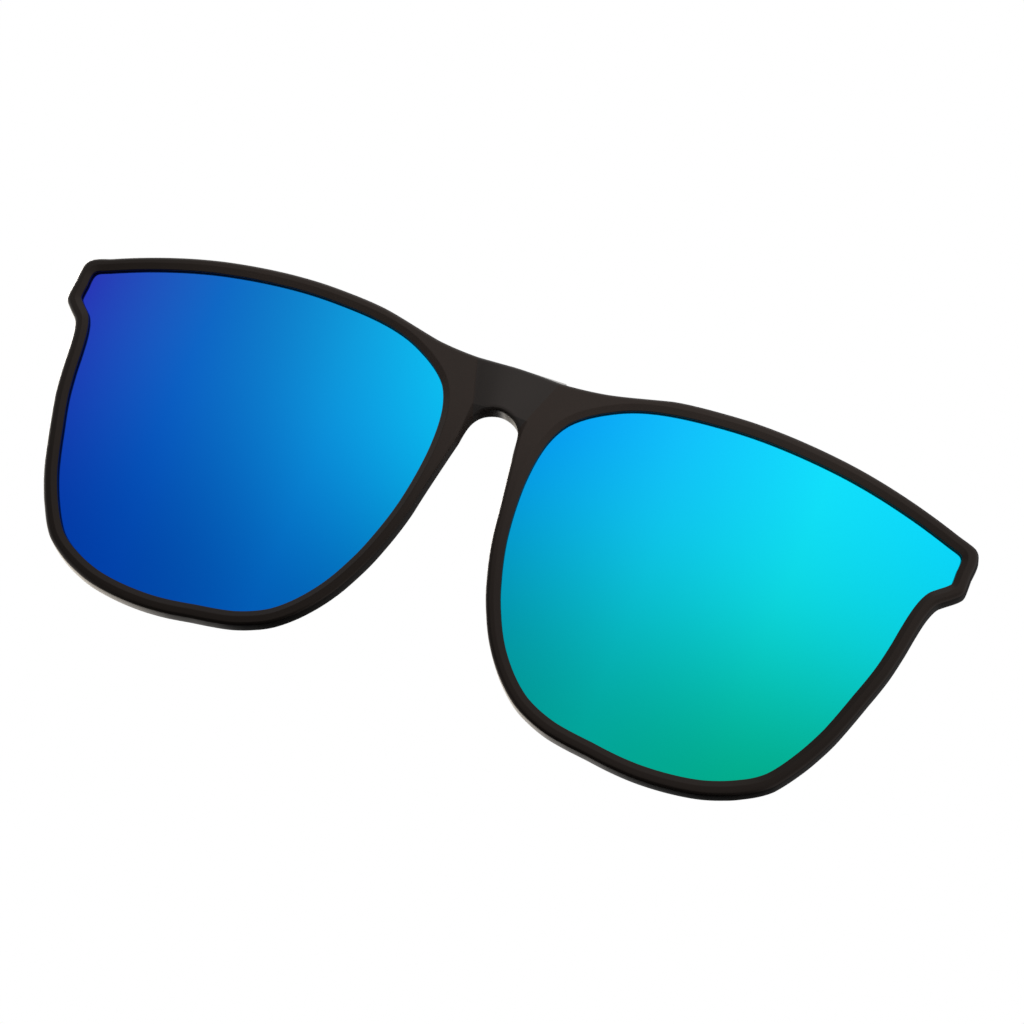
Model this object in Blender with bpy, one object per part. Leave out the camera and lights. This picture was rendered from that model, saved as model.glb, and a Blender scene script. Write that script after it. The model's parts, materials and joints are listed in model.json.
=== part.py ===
"""Flip-up clip-on sunglass front.

A one-piece nylon front holds two mirrored lenses. A hinge behind its bridge lets it flip up from a
small sprung clamp, whose four sleeved wire arms grip the lenses of the glasses it is worn on.

Metres, +Z up. The front faces -Y, and +X is to the right of someone looking at it. The origin lies
in the closed clamp, midway between its arms. Shapes are drawn in the front's own frame, where y is
0 on the front's apex and z is 0 at the lenses' mid-height, and the datum empty carries that frame.
"""

import math

import bmesh
import bpy
from mathutils import Vector

MM = 0.001

# Lenses and their openings.
LENS_WIDTH = 61.8 * MM
LENS_HEIGHT = 52.6 * MM
LENS_GAP = 15.2 * MM
LENS_THICKNESS = 1.1 * MM
LENS_SEAT = 0.8 * MM
LENS_SET_BACK = 0.9 * MM
FRONT_RADIUS = 312 * MM

# Nylon front.
RIM_WIDTH = 2.15 * MM
RIM_DEPTH = 2.9 * MM
BRIDGE_TOP = 23.9 * MM
ARCH_TOP = 16.4 * MM
ARCH_HALF_WIDTH = 3.9 * MM
SADDLE_HALF_WIDTH = 6.6 * MM
SADDLE_FOOT_HALF_WIDTH = 4.2 * MM
SADDLE_RISE = 0.6 * MM

# Flip hinge on the back of the bridge.
GAP = 0.3 * MM
PLATE_SINK = 0.7 * MM
PLATE_THICKNESS = 0.8 * MM
PLATE_HALF_WIDTH = 5.6 * MM
PLATE_HEIGHT = 4.9 * MM
PLATE_RISE = 0.5 * MM
FLIP_DROP = 1.5 * MM
KNUCKLE_RADIUS = 1.6 * MM
KNUCKLE_WIDTH = 1.8 * MM
BARREL_HALF_WIDTH = 3.0 * MM
FLIP_PIN_RADIUS = 0.5 * MM
LEAF_THICKNESS = 0.25 * MM
LEAF_CLEARANCE = 0.2 * MM
SCREW_RADIUS = 0.6 * MM
SCREW_HEAD_RADIUS = 1.15 * MM
SCREW_HEAD_HEIGHT = 0.6 * MM
SCREW_LENGTH = 3.0 * MM
SCREW_HALF_SPACING = 4.1 * MM
SCREW_EDGE = 0.2 * MM
SCREW_SLOT = 0.28 * MM

# Clamp body.
BLOCK_HALF_WIDTH = 6.1 * MM
BLOCK_DEPTH = 2.6 * MM
BLOCK_HEIGHT = 3.6 * MM
FRONT_ARM_DROP = 1.1 * MM
EAR_HALF_WIDTH = 5.0 * MM
EAR_THICKNESS = 1.0 * MM
EAR_RISE = 3.0 * MM
CHEEK_THICKNESS = 1.3 * MM
CHEEK_RADIUS = 1.4 * MM

# Clamp arms and their sleeves.
ARM_RADIUS = 0.55 * MM
ARM_HALF_SPREAD = 12.0 * MM
ARM_BEND_RADIUS = 2.0 * MM
ARM_TIP_Z = 5.5 * MM
SOCKET_DEPTH = 2.2 * MM
SLEEVE_RADIUS = 1.45 * MM
SLEEVE_LENGTH = 8.4 * MM
SLEEVE_END = 0.5 * MM

# Rear lever, its pin and its spring.
LEVER_HALF_WIDTH = 4.5 * MM
LEVER_DEPTH = 2.6 * MM
LEVER_ARM_RISE = 1.1 * MM
JAW_ABOVE_ARM = 2.4 * MM
JAW_PIN_RADIUS = 0.6 * MM
TAB_THICKNESS = 1.2 * MM
TAB_RISE = 4.1 * MM
WINDOW_HALF_WIDTH = 2.1 * MM
SPRING_WIRE_RADIUS = 0.25 * MM
SPRING_HALF_LENGTH = 1.55 * MM
SPRING_TURNS = 3.6
PAD_THICKNESS = 0.8 * MM
HEAD_THICKNESS = 0.5 * MM
HEAD_OVERHANG = 0.4 * MM

# How finely round shapes are drawn, and which corners of an outline are rounded and by how much.
OUTLINE_STEP = 3.5 * MM
CORNER_TURN = math.radians(35)
CORNER_RADIUS = 1.1 * MM
PIN_SIDES = 16
OUTSIDE = 5 * MM

# One lens opening, clockwise from the nose, in half widths and half heights from its middle.
OPENING_SHAPE = (
    (-1.0, 0.27), (-0.98, 0.53), (-0.92, 0.69), (-0.76, 0.84), (-0.59, 0.925), (-0.28, 0.985),
    (0.0, 1.0), (0.37, 0.97), (0.70, 0.895), (0.93, 0.8175), (1.0, 0.792), (1.0, 0.70),
    (1.0, 0.612), (0.955, 0.558), (0.922, 0.52), (0.90, 0.475), (0.88, 0.405), (0.862, 0.30),
    (0.845, 0.165), (0.818, 0.0), (0.77, -0.19), (0.70, -0.44), (0.615, -0.645), (0.53, -0.79),
    (0.43, -0.875), (0.27, -0.955), (0.0, -1.0), (-0.25, -0.98), (-0.44, -0.95), (-0.60, -0.875),
    (-0.755, -0.70), (-0.86, -0.49), (-0.922, -0.30), (-0.972, -0.07),
)

# Places that follow from the sizes above, front to back and then upwards.
LENS_MIDDLE_X = (LENS_GAP + LENS_WIDTH) / 2
FLIP_Z = BRIDGE_TOP - FLIP_DROP
PLATE_TOP = FLIP_Z + PLATE_RISE
PLATE_BOTTOM = PLATE_TOP - PLATE_HEIGHT
BRIDGE_MIDDLE_Z = (BRIDGE_TOP + ARCH_TOP) / 2
PLATE_FLOOR = RIM_DEPTH + BRIDGE_MIDDLE_Z**2 / (2 * FRONT_RADIUS) - PLATE_SINK
PLATE_FRONT = PLATE_FLOOR + GAP
PLATE_REAR = PLATE_FRONT + PLATE_THICKNESS
LEAF_FRONT = PLATE_REAR + GAP
LEAF_REAR = LEAF_FRONT + LEAF_THICKNESS
FLIP_Y = LEAF_REAR + LEAF_CLEARANCE + KNUCKLE_RADIUS
BLOCK_FRONT = FLIP_Y + KNUCKLE_RADIUS + GAP
BLOCK_REAR = BLOCK_FRONT + BLOCK_DEPTH
FRONT_ARM_Y = BLOCK_FRONT + BLOCK_DEPTH / 2
FRONT_ARM_Z = FLIP_Z - FRONT_ARM_DROP
BLOCK_BOTTOM = FRONT_ARM_Z - BLOCK_DEPTH / 2
BLOCK_TOP = BLOCK_BOTTOM + BLOCK_HEIGHT
EAR_TOP = BLOCK_TOP + EAR_RISE
REAR_ARM_Y = FRONT_ARM_Y + 2 * SLEEVE_RADIUS + GAP
REAR_ARM_Z = FRONT_ARM_Z + LEVER_ARM_RISE
JAW_Y = REAR_ARM_Y
JAW_Z = REAR_ARM_Z + JAW_ABOVE_ARM
TAB_TOP = JAW_Z + TAB_RISE
SCREW_Z = PLATE_BOTTOM + SCREW_HEAD_RADIUS + SCREW_EDGE
LEAF_SHOULDER_Z = SCREW_Z + SCREW_HEAD_RADIUS
SLEEVE_BOTTOM = ARM_TIP_Z - GAP - SLEEVE_END
CLAMP_Y = FRONT_ARM_Y + SLEEVE_RADIUS + GAP / 2
CLAMP_Z = SLEEVE_BOTTOM + SLEEVE_LENGTH / 2

AXES = {"X": Vector((1, 0, 0)), "Y": Vector((0, 1, 0)), "Z": Vector((0, 0, 1))}


def clear_scene():
    for obj in list(bpy.data.objects):
        bpy.data.objects.remove(obj, do_unlink=True)


def material(name, colour, roughness, metallic=0.0):
    mat = bpy.data.materials.new(name)
    mat.use_nodes = True
    shader = mat.node_tree.nodes["Principled BSDF"]
    shader.inputs["Base Color"].default_value = (*colour, 1.0)
    shader.inputs["Roughness"].default_value = roughness
    shader.inputs["Metallic"].default_value = metallic
    mat.diffuse_color = (*colour, 1.0)
    return mat


def empty(name, place, parent=None):
    """An empty at a place given in the front's own frame."""
    obj = bpy.data.objects.new(name, None)
    bpy.context.collection.objects.link(obj)
    obj.parent = parent
    obj["place"] = list(place)
    obj.location = Vector(place) - (Vector(parent["place"]) if parent else Vector())
    return obj


def put(name, data, mat, parent):
    """Names a shape drawn in the front's own frame and hangs it on its body's empty."""
    obj = bpy.data.objects.new(name, data)
    bpy.context.collection.objects.link(obj)
    data.materials.append(mat)
    obj.parent = parent
    obj.location = -Vector(parent["place"])
    return obj


def finished(bm, name):
    bmesh.ops.recalc_face_normals(bm, faces=bm.faces)
    mesh = bpy.data.meshes.new(name)
    bm.to_mesh(mesh)
    bm.free()
    mesh.shade_smooth()
    mesh.set_sharp_from_angle(angle=math.radians(35))
    return mesh


def prism(name, outline, axis, low, high):
    """An outline in the two other axes, in X, Y, Z order, extruded along axis from low to high."""
    bm = bmesh.new()
    first, second = (AXES[other] for other in "XYZ" if other != axis)
    start = AXES[axis] * low
    corners = [bm.verts.new(start + first * a + second * b) for a, b in outline]
    face = bm.faces.new(corners)
    grown = bmesh.ops.extrude_face_region(bm, geom=[face])["geom"]
    moved = [item for item in grown if isinstance(item, bmesh.types.BMVert)]
    bmesh.ops.translate(bm, verts=moved, vec=AXES[axis] * (high - low))
    return finished(bm, name)


def box(name, x, y, z):
    """A box from its low and high limits along X, Y and Z."""
    outline = [(x[0], y[0]), (x[1], y[0]), (x[1], y[1]), (x[0], y[1])]
    return prism(name, outline, "Z", z[0], z[1])


def turned(name, profile, axis, centre, sides=PIN_SIDES, closed=False):
    """Turns a profile of (distance along the axis, radius) about an axis through centre."""
    bm = bmesh.new()
    along = AXES[axis]
    outwards = AXES["Y"] if axis != "Y" else AXES["Z"]
    verts = [bm.verts.new(Vector(centre) + along * t + outwards * r) for t, r in profile]
    edges = [bm.edges.new(pair) for pair in zip(verts, verts[1:])]
    if closed:
        edges.append(bm.edges.new((verts[-1], verts[0])))
    bmesh.ops.spin(
        bm, geom=verts + edges, cent=centre, axis=along, angle=math.tau, steps=sides, use_merge=True
    )
    bmesh.ops.remove_doubles(bm, verts=bm.verts, dist=0.001 * MM)
    return finished(bm, name)


def rod(name, axis, centre, radius, low, high):
    profile = [(low, 0), (low, radius), (high, radius), (high, 0)]
    return turned(name, profile, axis, centre)


def boolean(target, operation, *meshes):
    """Joins or cuts meshes drawn in the same frame as the target's."""
    for mesh in meshes:
        tool = bpy.data.objects.new(mesh.name, mesh)
        bpy.context.collection.objects.link(tool)
        tool.parent = target
        tool.hide_render = True
        tool.display_type = "WIRE"
        modifier = target.modifiers.new(mesh.name, "BOOLEAN")
        modifier.operation = operation
        modifier.solver = "EXACT"
        modifier.object = tool


def wire(name, points, radius, mat, parent):
    curve = bpy.data.curves.new(name, "CURVE")
    curve.dimensions = "3D"
    curve.bevel_depth = radius
    curve.bevel_resolution = 2
    curve.use_fill_caps = True
    spline = curve.splines.new("POLY")
    spline.points.add(len(points) - 1)
    for point, place in zip(spline.points, points):
        point.co = (*place, 1.0)
    return put(name, curve, mat, parent)


def arc(centre, radius, start, end, steps):
    """Points on a circle from one angle to another, in degrees."""
    angles = [math.radians(start + (end - start) * i / steps) for i in range(steps + 1)]
    return [(centre[0] + radius * math.cos(a), centre[1] + radius * math.sin(a)) for a in angles]


def smooth_loop(points):
    """A closed centripetal Catmull-Rom curve through the points, in steps of about OUTLINE_STEP."""
    loop = []
    count = len(points)
    for i in range(count):
        p = [points[(i + k) % count] for k in (-1, 0, 1, 2)]
        knots = [0.0]
        for a, b in zip(p, p[1:]):
            knots.append(knots[-1] + math.sqrt((b - a).length))
        steps = max(1, round((p[2] - p[1]).length / OUTLINE_STEP))
        for step in range(steps):
            t = knots[1] + (knots[2] - knots[1]) * step / steps
            level = p
            for span in (1, 2, 3):
                lows = knots if span < 3 else knots[1:]
                width = min(span, 2)
                level = [
                    a.lerp(b, (t - lows[j]) / (lows[j + width] - lows[j]))
                    for j, (a, b) in enumerate(zip(level, level[1:]))
                ]
            loop.append(level[0])
    return loop


def cut_corners(points):
    """The loop with each sharp corner replaced by the two ends of its rounding."""
    kept = []
    for i, point in enumerate(points):
        before = (point - points[i - 1]).normalized()
        after = (points[(i + 1) % len(points)] - point).normalized()
        turn = before.angle(after)
        if turn < CORNER_TURN:
            kept.append(point)
        else:
            cut = CORNER_RADIUS * math.tan(turn / 2)
            kept += [point - before * cut, point + after * cut]
    return kept


def offset_loop(loop, distance):
    """The loop moved outwards with mitred corners. A clockwise loop has its outside on the left."""
    moved = []
    for i, point in enumerate(loop):
        before = (point - loop[i - 1]).normalized()
        after = (loop[(i + 1) % len(loop)] - point).normalized()
        along = (before + after).normalized()
        moved.append(point + Vector((-along.y, along.x)) * distance / along.dot(before))
    return moved


def opening_points():
    """The corners of the right-hand lens opening, in x and z."""
    half = Vector((LENS_WIDTH / 2, LENS_HEIGHT / 2))
    return [Vector((u * half.x + LENS_MIDDLE_X, v * half.y)) for u, v in OPENING_SHAPE]


def opening_loop(side):
    """The visible edge of one lens, in x and z."""
    loop = smooth_loop(cut_corners(opening_points()))
    return loop if side > 0 else [Vector((-x, z)) for x, z in reversed(loop)]


def front_loop():
    """The front's whole outline: the rims' outer edges, the bridge's top and the nose arch."""
    rim = offset_loop(smooth_loop(opening_points()), RIM_WIDTH)
    brow_x = LENS_GAP / 2 + 0.2 * LENS_WIDTH
    nose_z = 0.07 * LENS_HEIGHT
    kept = [p.x > brow_x or p.y < nose_z for p in rim]
    first = next(i for i, keep in enumerate(kept) if keep and not kept[i - 1])
    rim = [rim[(first + i) % len(rim)] for i in range(sum(kept))]
    half = [
        Vector((0, BRIDGE_TOP)),
        Vector((SADDLE_HALF_WIDTH, BRIDGE_TOP)),
        Vector(((SADDLE_HALF_WIDTH + rim[0].x) / 2 - 1.5 * MM, BRIDGE_TOP + 0.7 * MM)),
        *rim,
        Vector((ARCH_HALF_WIDTH + 0.4 * MM, ARCH_TOP - 6.0 * MM)),
        Vector((0.93 * ARCH_HALF_WIDTH, ARCH_TOP - 2.2 * MM)),
        Vector((0.6 * ARCH_HALF_WIDTH, ARCH_TOP - 0.7 * MM)),
        Vector((0, ARCH_TOP)),
    ]
    mirrored = [Vector((-x, z)) for x, z in reversed(half[1:-1])]
    return smooth_loop(cut_corners(half + mirrored))


def saddle_half_width(z):
    slope = (SADDLE_HALF_WIDTH - SADDLE_FOOT_HALF_WIDTH) / (BRIDGE_TOP - ARCH_TOP)
    return SADDLE_FOOT_HALF_WIDTH + slope * (z - ARCH_TOP)


def base_curve(x, z):
    return (x * x + z * z) / (2 * FRONT_RADIUS)


def front_surface(x, z):
    """Depth of the front face: the base curve, with the saddle standing proud of the bridge."""
    share = abs(x) / max(saddle_half_width(z), 0.01 * MM)
    return base_curve(x, z) - SADDLE_RISE * max(0.0, 1 - share * share)


def loop_edges(bm, loop):
    verts = [bm.verts.new((x, 0, z)) for x, z in loop]
    return [bm.edges.new((verts[i - 1], verts[i])) for i in range(len(verts))]


def thicken(bm, near, far):
    """Turns a flat sheet into a slab whose two faces lie at depths near(x, z) and far(x, z)."""
    grown = bmesh.ops.extrude_face_region(bm, geom=bm.faces[:])["geom"]
    back = {item for item in grown if isinstance(item, bmesh.types.BMVert)}
    for vert in bm.verts:
        depth = far if vert in back else near
        vert.co.y = depth(vert.co.x, vert.co.z)


def front_mesh():
    bm = bmesh.new()
    for loop in (front_loop(), opening_loop(1), opening_loop(-1)):
        loop_edges(bm, loop)
    bmesh.ops.triangle_fill(bm, use_beauty=True, use_dissolve=False, edges=bm.edges[:])
    rise = Vector((SADDLE_HALF_WIDTH - SADDLE_FOOT_HALF_WIDTH, 0, BRIDGE_TOP - ARCH_TOP))
    for share in (-1, -2 / 3, -1 / 3, 0, 1 / 3, 2 / 3, 1):
        across = Vector((rise.z, 0, -rise.x * share))
        bmesh.ops.bisect_plane(
            bm, geom=bm.verts[:] + bm.edges[:] + bm.faces[:], dist=0.001 * MM,
            plane_co=(share * SADDLE_HALF_WIDTH, 0, BRIDGE_TOP), plane_no=across.normalized(),
        )
    thicken(bm, front_surface, lambda x, z: base_curve(x, z) + RIM_DEPTH)
    return finished(bm, "front_frame")


def groove_mesh(side):
    """The cutter for the groove that holds a lens."""
    bm = bmesh.new()
    opening = opening_loop(side)
    loops = loop_edges(bm, offset_loop(opening, LENS_SEAT + GAP))
    loops += loop_edges(bm, offset_loop(opening, -LENS_SEAT))
    bmesh.ops.bridge_loops(bm, edges=loops)
    near = LENS_SET_BACK - GAP
    far = LENS_SET_BACK + LENS_THICKNESS + GAP
    thicken(bm, lambda x, z: base_curve(x, z) + near, lambda x, z: base_curve(x, z) + far)
    return finished(bm, "groove")


def lens_mesh(name, side):
    bm = bmesh.new()
    outline = offset_loop(opening_loop(side), LENS_SEAT)
    middle = Vector((side * LENS_MIDDLE_X, 0))
    edges = loop_edges(bm, outline)
    for share in (0.75, 0.5, 0.25):
        inner = loop_edges(bm, [middle.lerp(point, share) for point in outline])
        bmesh.ops.bridge_loops(bm, edges=edges + inner)
        edges = inner
    bmesh.ops.contextual_create(bm, geom=edges)
    near = LENS_SET_BACK
    far = LENS_SET_BACK + LENS_THICKNESS
    thicken(bm, lambda x, z: base_curve(x, z) + near, lambda x, z: base_curve(x, z) + far)
    return finished(bm, name)


def build_front(body, plastic, tints):
    frame = put("front_frame", front_mesh(), plastic, body)
    boolean(frame, "DIFFERENCE", groove_mesh(1), groove_mesh(-1))
    pocket_x = PLATE_HALF_WIDTH + GAP
    pocket = box(
        "pocket", (-pocket_x, pocket_x), (PLATE_FLOOR, RIM_DEPTH + OUTSIDE),
        (PLATE_BOTTOM - GAP, PLATE_TOP + GAP),
    )
    boolean(frame, "DIFFERENCE", pocket)
    tip = LEAF_REAR + GAP - SCREW_LENGTH
    for side, word in ((-1, "left"), (1, "right")):
        place = (side * SCREW_HALF_SPACING, 0, SCREW_Z)
        hole = rod("screw_hole", "Y", place, SCREW_RADIUS + GAP, tip - GAP, RIM_DEPTH + OUTSIDE)
        boolean(frame, "DIFFERENCE", hole)
        name = f"lens_{word}"
        put(name, lens_mesh(name, side), tints[side], body)


def build_flip_hinge(body, steel, bright):
    half = PLATE_HALF_WIDTH
    window = BARREL_HALF_WIDTH
    sill = LEAF_SHOULDER_Z + 0.2 * MM
    plate = [
        (-half, PLATE_BOTTOM), (half, PLATE_BOTTOM), (half, PLATE_TOP), (window, PLATE_TOP),
        (window, sill), (-window, sill), (-window, PLATE_TOP), (-half, PLATE_TOP),
    ]
    mesh = prism("hinge_bracket", plate, "Y", PLATE_FRONT, PLATE_REAR)
    bracket = put("hinge_bracket", mesh, steel, body)
    root_y = PLATE_REAR - 0.3 * MM
    knuckle = [
        (root_y, FLIP_Z - KNUCKLE_RADIUS + 0.1 * MM),
        *arc((FLIP_Y, FLIP_Z), KNUCKLE_RADIUS, -90, 90, 8),
        (root_y, PLATE_TOP - 0.1 * MM),
    ]
    inner = BARREL_HALF_WIDTH + GAP
    outer = inner + KNUCKLE_WIDTH
    for side in (-1, 1):
        low, high = sorted((side * inner, side * outer))
        boolean(bracket, "UNION", prism("knuckle", knuckle, "X", low, high))
    axis = (0, FLIP_Y, FLIP_Z)
    bore = rod("pin_bore", "X", axis, FLIP_PIN_RADIUS + GAP, -outer - OUTSIDE, outer + OUTSIDE)
    boolean(bracket, "DIFFERENCE", bore)

    leaf = [
        (-half + 0.4 * MM, PLATE_BOTTOM + 0.1 * MM), (half - 0.4 * MM, PLATE_BOTTOM + 0.1 * MM),
        (half - 0.4 * MM, LEAF_SHOULDER_Z), (window - GAP, LEAF_SHOULDER_Z),
        (window - GAP, BRIDGE_TOP), (-window + GAP, BRIDGE_TOP),
        (-window + GAP, LEAF_SHOULDER_Z), (-half + 0.4 * MM, LEAF_SHOULDER_Z),
    ]
    mesh = prism("detent_spring", leaf, "Y", LEAF_FRONT, LEAF_REAR)
    spring = put("detent_spring", mesh, bright, body)

    seat = LEAF_REAR + GAP
    for side, word in ((-1, "left"), (1, "right")):
        place = (side * SCREW_HALF_SPACING, 0, SCREW_Z)
        hole = rod("screw_way", "Y", place, SCREW_RADIUS + GAP, 0, seat + OUTSIDE)
        boolean(bracket, "DIFFERENCE", hole)
        boolean(spring, "DIFFERENCE", hole.copy())
        dome = seat + SCREW_HEAD_HEIGHT
        profile = [
            (seat - SCREW_LENGTH, 0), (seat - SCREW_LENGTH, SCREW_RADIUS), (seat, SCREW_RADIUS),
            (seat, SCREW_HEAD_RADIUS), (dome - 0.25 * MM, SCREW_HEAD_RADIUS),
            (dome, 0.6 * SCREW_HEAD_RADIUS), (dome, 0),
        ]
        name = f"bracket_screw_{word}"
        screw = put(name, turned(name, profile, "Y", place), bright, body)
        x, z = place[0], place[2]
        across = (x - 2 * SCREW_HEAD_RADIUS, x + 2 * SCREW_HEAD_RADIUS)
        slot = box("slot", across, (dome - GAP, dome + MM), (z - SCREW_SLOT / 2, z + SCREW_SLOT / 2))
        boolean(screw, "DIFFERENCE", slot)
    build_pin("flip_pin", axis, FLIP_PIN_RADIUS, outer, bright, body)


def build_pin(name, axis, radius, reach, mat, body):
    """A headed pin through parts that end at x = reach on both sides, and the ring that keeps it."""
    near = reach + GAP
    far = near + HEAD_THICKNESS
    head = radius + GAP + HEAD_OVERHANG
    profile = [
        (-far, 0), (-far, 0.6 * head), (-far + 0.2 * MM, head), (-near, head), (-near, radius),
        (far + 0.1 * MM, radius), (far + 0.1 * MM, 0),
    ]
    put(name, turned(name, profile, "X", axis), mat, body)
    bore = radius + GAP
    ring = [(near, bore), (near, head), (far, head), (far, bore)]
    ring_name = f"{name}_ring"
    put(ring_name, turned(ring_name, ring, "X", axis, closed=True), mat, body)


def build_clamp(body, steel, bright, silicone):
    block = box(
        "clip_body", (-BLOCK_HALF_WIDTH, BLOCK_HALF_WIDTH), (BLOCK_FRONT, BLOCK_REAR),
        (BLOCK_BOTTOM, BLOCK_TOP),
    )
    clip = put("clip_body", block, steel, body)
    ear = box(
        "ear", (-EAR_HALF_WIDTH, EAR_HALF_WIDTH), (BLOCK_FRONT, BLOCK_FRONT + EAR_THICKNESS),
        (BLOCK_TOP - MM, EAR_TOP),
    )
    flat = KNUCKLE_RADIUS - 0.25 * MM
    land = 0.5 * flat
    barrel = [
        (BLOCK_FRONT + 0.5 * MM, FLIP_Z - flat), (FLIP_Y - land, FLIP_Z - flat),
        (FLIP_Y - flat, FLIP_Z - land), (FLIP_Y - flat, FLIP_Z + land),
        (FLIP_Y - land, FLIP_Z + flat), (BLOCK_FRONT + 0.5 * MM, FLIP_Z + flat),
    ]
    hinge = prism("barrel", barrel, "X", -BARREL_HALF_WIDTH, BARREL_HALF_WIDTH)
    cheek = [
        (BLOCK_FRONT + 0.4 * MM, BLOCK_TOP - 1.6 * MM), (BLOCK_REAR, BLOCK_TOP - 1.2 * MM),
        *arc((JAW_Y, JAW_Z), CHEEK_RADIUS, -80, 110, 10),
        (BLOCK_FRONT + 0.4 * MM, BLOCK_TOP + 1.2 * MM),
    ]
    boolean(clip, "UNION", ear, hinge)
    for side in (-1, 1):
        reach = side * BLOCK_HALF_WIDTH
        low, high = sorted((reach, reach - side * CHEEK_THICKNESS))
        boolean(clip, "UNION", prism("cheek", cheek, "X", low, high))
    flip_bore = rod(
        "flip_bore", "X", (0, FLIP_Y, FLIP_Z), FLIP_PIN_RADIUS + GAP, -OUTSIDE, OUTSIDE
    )
    jaw = (0, JAW_Y, JAW_Z)
    far = BLOCK_HALF_WIDTH + OUTSIDE
    jaw_bore = rod("jaw_bore", "X", jaw, JAW_PIN_RADIUS + GAP, -far, far)
    boolean(clip, "DIFFERENCE", flip_bore, jaw_bore)
    for side, word in ((-1, "left"), (1, "right")):
        root = (side, BLOCK_HALF_WIDTH, FRONT_ARM_Y, FRONT_ARM_Z)
        boolean(clip, "DIFFERENCE", socket(*root))
        build_arm("front", word, root, bright, silicone, body)
    build_pin("jaw_pin", jaw, JAW_PIN_RADIUS, BLOCK_HALF_WIDTH, bright, body)
    build_spring(body, bright)


def socket(side, face, y, z):
    """The blind hole that takes an arm, drilled from the side face at x = face."""
    low, high = sorted((side * (face - SOCKET_DEPTH), side * (face + OUTSIDE)))
    return rod("socket", "X", (0, y, z), ARM_RADIUS + GAP, low, high)


def build_arm(row, word, root, bright, silicone, body):
    """A bent wire arm from its socket to its tip, and the soft sleeve over the tip."""
    side, face, y, z = root
    bend = (ARM_HALF_SPREAD - ARM_BEND_RADIUS, z - ARM_BEND_RADIUS)
    route = [(face - SOCKET_DEPTH + GAP, z)]
    route += arc(bend, ARM_BEND_RADIUS, 90, 0, 8)
    route.append((ARM_HALF_SPREAD, ARM_TIP_Z))
    wire(f"{row}_arm_{word}", [(side * x, y, up) for x, up in route], ARM_RADIUS, bright, body)
    bottom = SLEEVE_BOTTOM
    top = bottom + SLEEVE_LENGTH
    floor = bottom + SLEEVE_END
    bore = ARM_RADIUS + GAP
    profile = [
        (bottom, 0), (bottom, SLEEVE_RADIUS - 0.4 * MM), (bottom + 0.4 * MM, SLEEVE_RADIUS),
        (top, SLEEVE_RADIUS), (top, bore), (floor, bore), (floor, 0),
    ]
    name = f"{row}_sleeve_{word}"
    put(name, turned(name, profile, "Z", (side * ARM_HALF_SPREAD, y, 0)), silicone, body)


def build_spring(body, bright):
    """A torsion coil round the jaw pin. One leg bears on the ear and the other on the lever's tab."""
    radius = JAW_PIN_RADIUS + GAP + SPRING_WIRE_RADIUS
    rest = GAP + SPRING_WIRE_RADIUS
    start = 215
    steps = round(SPRING_TURNS * 12)
    coil = arc((JAW_Y, JAW_Z), radius, start, start + 360 * SPRING_TURNS, steps)
    ear_y = BLOCK_FRONT + EAR_THICKNESS + rest
    tab_y = JAW_Y + LEVER_DEPTH / 2 - TAB_THICKNESS - rest
    points = [(-SPRING_HALF_LENGTH, ear_y, EAR_TOP - 0.2 * MM)]
    points.append((-SPRING_HALF_LENGTH, ear_y + 0.4 * MM, EAR_TOP - 0.5 * MM))
    for i, (y, z) in enumerate(coil):
        points.append((SPRING_HALF_LENGTH * (2 * i / steps - 1), y, z))
    points.append((SPRING_HALF_LENGTH, tab_y + 0.2 * MM, JAW_Z + radius + 0.3 * MM))
    points.append((SPRING_HALF_LENGTH, tab_y, JAW_Z + radius + 0.7 * MM))
    points.append((SPRING_HALF_LENGTH, tab_y, TAB_TOP - 1.0 * MM))
    wire("jaw_spring", points, SPRING_WIRE_RADIUS, bright, body)


def build_lever(body, steel, bright, silicone):
    front = JAW_Y - LEVER_DEPTH / 2
    rear = JAW_Y + LEVER_DEPTH / 2
    tab_front = rear - TAB_THICKNESS
    bottom = REAR_ARM_Z - LEVER_DEPTH / 2
    round_over = LEVER_DEPTH / 2
    side_view = [
        (front, bottom), (rear, bottom), (rear, TAB_TOP), (tab_front, TAB_TOP),
        (tab_front, JAW_Z + round_over), *arc((JAW_Y, JAW_Z), round_over, 90, 180, 6),
    ]
    mesh = prism("jaw_lever", side_view, "X", -LEVER_HALF_WIDTH, LEVER_HALF_WIDTH)
    lever = put("jaw_lever", mesh, steel, body)
    coil = JAW_PIN_RADIUS + GAP + 2 * SPRING_WIRE_RADIUS + GAP
    window = box(
        "spring_window", (-WINDOW_HALF_WIDTH, WINDOW_HALF_WIDTH), (front - MM, rear + MM),
        (JAW_Z - coil, JAW_Z + coil),
    )
    far = LEVER_HALF_WIDTH + OUTSIDE
    bore = rod("lever_bore", "X", (0, JAW_Y, JAW_Z), JAW_PIN_RADIUS + GAP, -far, far)
    boolean(lever, "DIFFERENCE", window, bore)
    for side, word in ((-1, "left"), (1, "right")):
        root = (side, LEVER_HALF_WIDTH, REAR_ARM_Y, REAR_ARM_Z)
        boolean(lever, "DIFFERENCE", socket(*root))
        build_arm("rear", word, root, bright, silicone, body)
    half = LEVER_HALF_WIDTH - 0.4 * MM
    pad = box(
        "lever_pad", (-half, half), (rear + GAP, rear + GAP + PAD_THICKNESS),
        (JAW_Z + coil + GAP, TAB_TOP),
    )
    put("lever_pad", pad, silicone, body)


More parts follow.
